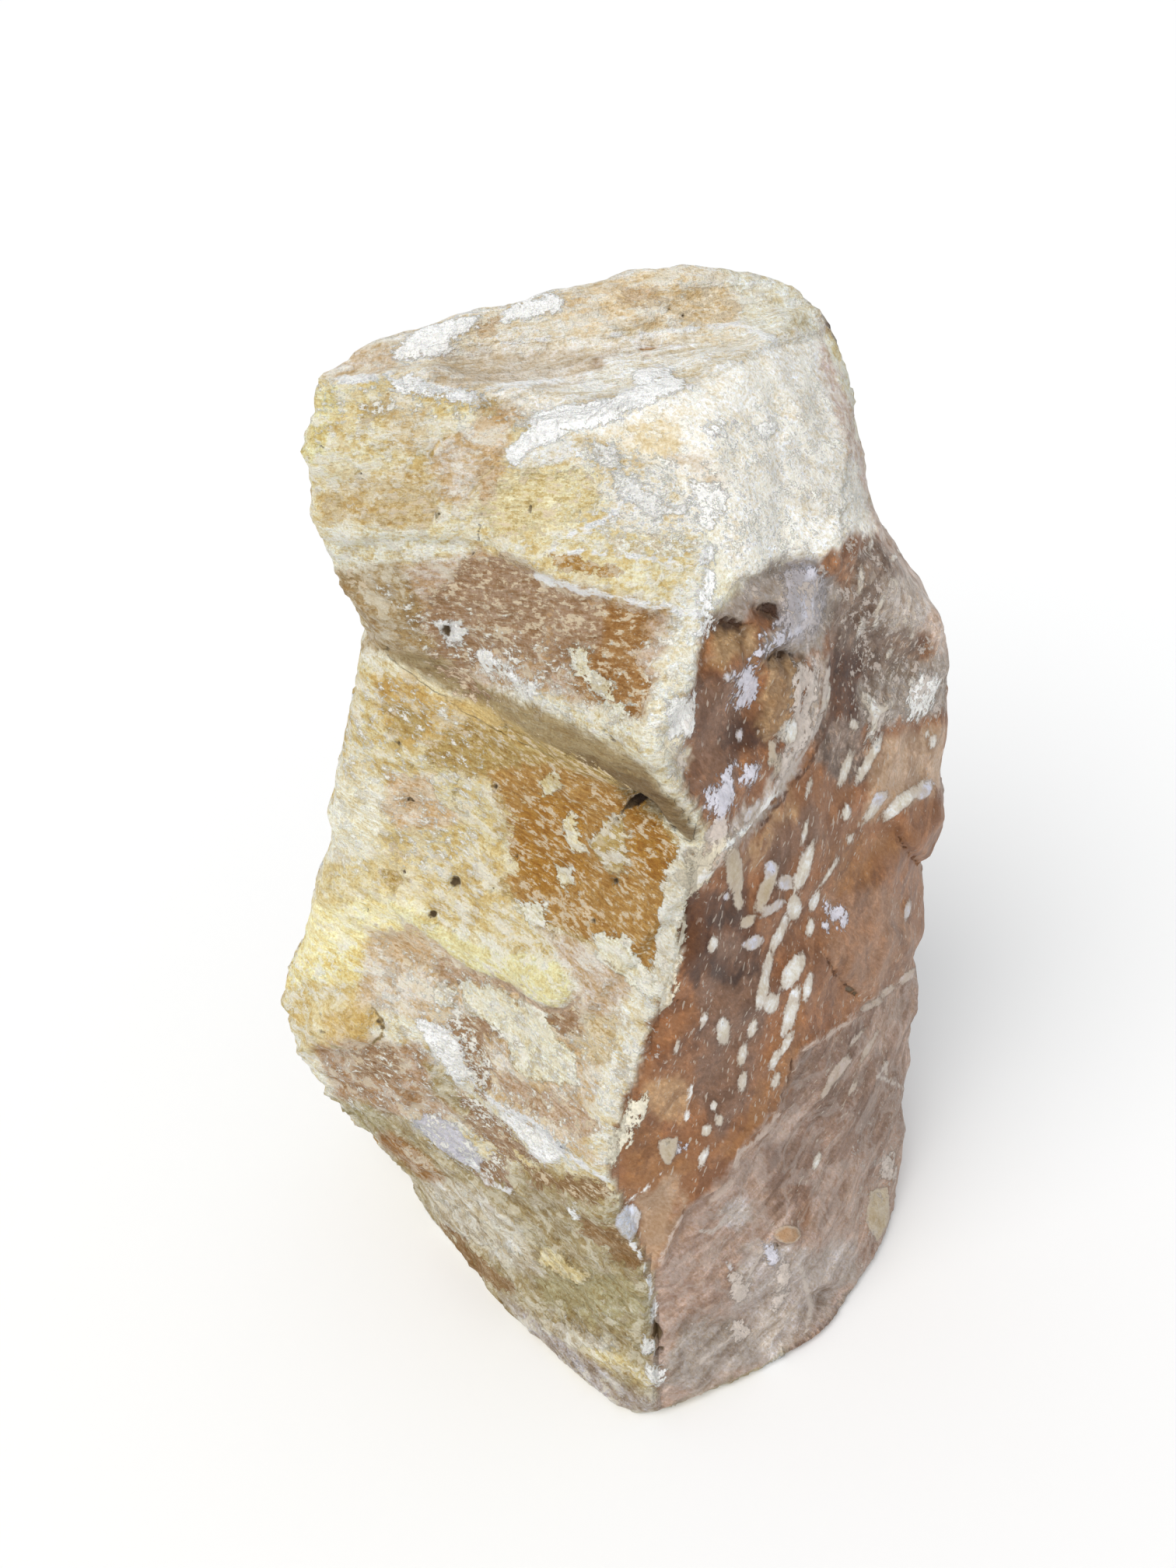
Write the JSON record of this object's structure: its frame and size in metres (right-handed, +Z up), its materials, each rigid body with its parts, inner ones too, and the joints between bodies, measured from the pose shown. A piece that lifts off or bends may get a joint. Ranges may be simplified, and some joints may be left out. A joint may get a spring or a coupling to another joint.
{
  "type": "honeycomb calcite specimen",
  "caption": "Rough upright block of banded yellow, brown and white honeycomb calcite, tapering to a slanted crown and standing on a flat foot.",
  "frame": {"origin": "middle of the block's outline, on the floor under its flat foot", "axes": "+Z up along the block, +X to the right and +Y to the rear when the corner between its yellow left face and brown right face points at the viewer"},
  "size_m": [0.1326, 0.1128, 0.2083],
  "materials": {
    "calcite": "rough broken calcite, waxy in places"
  },
  "bodies": {
    "root": {"calcite_block": "calcite"}
  },
  "joints": []
}
